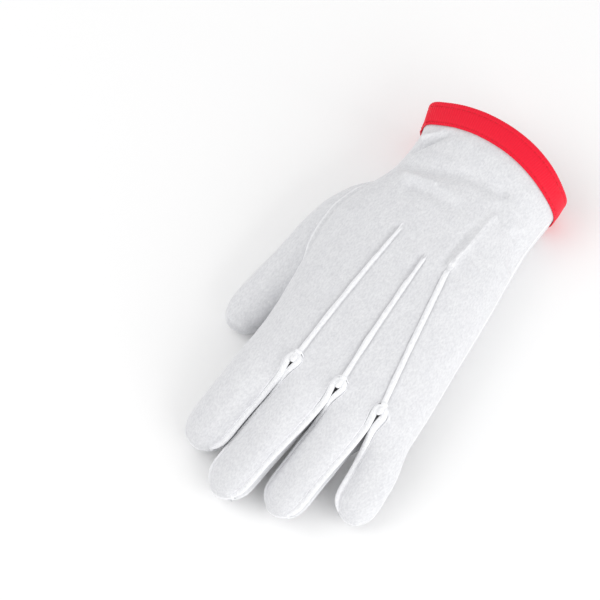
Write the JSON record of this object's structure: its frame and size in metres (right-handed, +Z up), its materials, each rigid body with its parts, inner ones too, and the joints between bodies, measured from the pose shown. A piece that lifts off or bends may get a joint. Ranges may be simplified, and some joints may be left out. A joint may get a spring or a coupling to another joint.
{
  "type": "parade glove, left hand",
  "caption": "Left-hand dress glove of white cotton with three raised points on the back and a red ribbon round the cuff, lying palm down.",
  "frame": {"origin": "the middle of the glove's footprint, on the surface it lies on", "axes": "+Z up from the palm to the back of the hand, -Y towards the fingertips and +Y towards the cuff, -X the thumb's side"},
  "size_m": [0.1234, 0.2332, 0.0476],
  "materials": {
    "white_cotton": "brushed cotton knit, matt",
    "red_ribbon": "grosgrain ribbon, low sheen"
  },
  "bodies": {
    "root": {"back_panel": "white_cotton", "palm_panel": "white_cotton", "fourchette_index_middle": "white_cotton", "fourchette_middle_ring": "white_cotton", "fourchette_ring_little": "white_cotton", "thumb": "white_cotton", "cuff_ribbon": "red_ribbon"}
  },
  "joints": []
}
